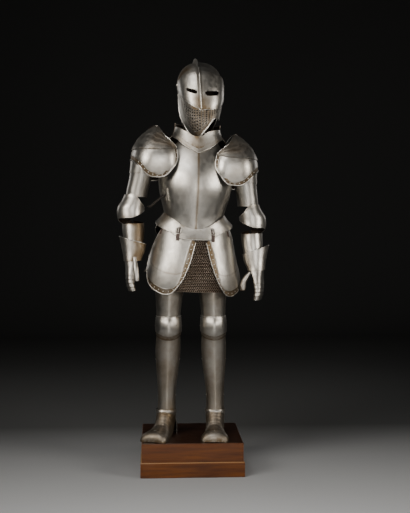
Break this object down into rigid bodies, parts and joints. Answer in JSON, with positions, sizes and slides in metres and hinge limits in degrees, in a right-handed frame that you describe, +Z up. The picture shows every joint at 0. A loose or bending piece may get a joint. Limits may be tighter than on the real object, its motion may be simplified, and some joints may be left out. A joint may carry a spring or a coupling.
{
  "type": "suit of plate armour on a wooden plinth",
  "caption": "Full suit of plate armour with a visored close helmet, mail skirt and tassets, standing empty on a two-step square wooden plinth.",
  "frame": {"origin": "middle of the plinth's underside", "axes": "+Z up, the figure faces -Y, +X is the wearer's left"},
  "size_m": [0.7204, 0.459, 1.9454],
  "materials": {
    "steel": "old hand-polished steel with brown patina",
    "mail": "browned iron rings",
    "leather": "matte",
    "wood": "satin varnish"
  },
  "bodies": {
    "suit": {"plinth": "wood", "helmet_skull": "steel", "breastplate": "steel", "backplate": "steel", "gorget_front": "steel", "gorget_back": "steel", "collar_front": "steel", "collar_back": "steel", "fauld": "steel", "culet": "steel", "mail_skirt": "mail", "tasset_left": "steel", "tasset_right": "steel", "tasset_strap_left_1": "leather", "tasset_strap_left_2": "leather", "tasset_strap_right_1": "leather", "tasset_strap_right_2": "leather", "pauldron_main_left": "steel", "pauldron_main_right": "steel", "pauldron_top_left": "steel", "pauldron_top_right": "steel", "shoulder_lame_left": "steel", "shoulder_lame_right": "steel", "shoulder_strap_left": "leather", "shoulder_strap_right": "leather", "upper_cannon_left": "steel", "upper_cannon_right": "steel", "couter_left": "steel", "couter_right": "steel", "cuisse_left": "steel", "cuisse_right": "steel", "poleyn_left": "steel", "poleyn_right": "steel", "poleyn_lame_left": "steel", "poleyn_lame_right": "steel", "greave_front_left": "steel", "greave_front_right": "steel", "greave_back_left": "steel", "greave_back_right": "steel", "sabaton_toe_left": "steel", "sabaton_toe_right": "steel", "sabaton_left": "steel", "sabaton_right": "steel", "sabaton_heel_left": "steel", "sabaton_heel_right": "steel", "lance_rest_bracket": "steel"},
    "bevor": {"bevor": "steel"},
    "visor": {"visor": "steel"},
    "forearm_left": {"lower_cannon_left": "steel", "gauntlet_cuff_left": "steel", "hand_plate_left": "steel", "finger_plates_left": "steel", "thumb_plate_left": "steel"},
    "forearm_right": {"lower_cannon_right": "steel", "gauntlet_cuff_right": "steel", "hand_plate_right": "steel", "finger_plates_right": "steel", "thumb_plate_right": "steel"},
    "lance_rest": {"lance_rest_arm": "steel"}
  },
  "joints": [
    {"name": "bevor_lift", "type": "hinge", "parent": "suit", "child": "bevor", "pos_m": [0.04123, 0, 1.81532], "axis": [-0.9913, -0.1303, -0.0178], "range_deg": [0, 50]},
    {"name": "visor_lift", "type": "hinge", "parent": "bevor", "child": "visor", "pos_m": [0.04123, 0, 1.81532], "axis": [-0.9913, -0.1303, -0.0178], "range_deg": [0, 50]},
    {"name": "elbow_left", "type": "hinge", "parent": "suit", "child": "forearm_left", "pos_m": [0.29439, 0.01625, 1.18167], "axis": [-0.9984, -0.0435, -0.0349], "range_deg": [0, 35]},
    {"name": "elbow_right", "type": "hinge", "parent": "suit", "child": "forearm_right", "pos_m": [-0.28355, -0.00905, 1.22893], "axis": [-0.9984, -0.0435, -0.0349], "range_deg": [0, 35]},
    {"name": "lance_rest_fold", "type": "hinge", "parent": "suit", "child": "lance_rest", "pos_m": [-0.12843, -0.10562, 1.29361], "axis": [-0.5457, 0.8377, 0.0238], "range_deg": [0, 80]}
  ]
}
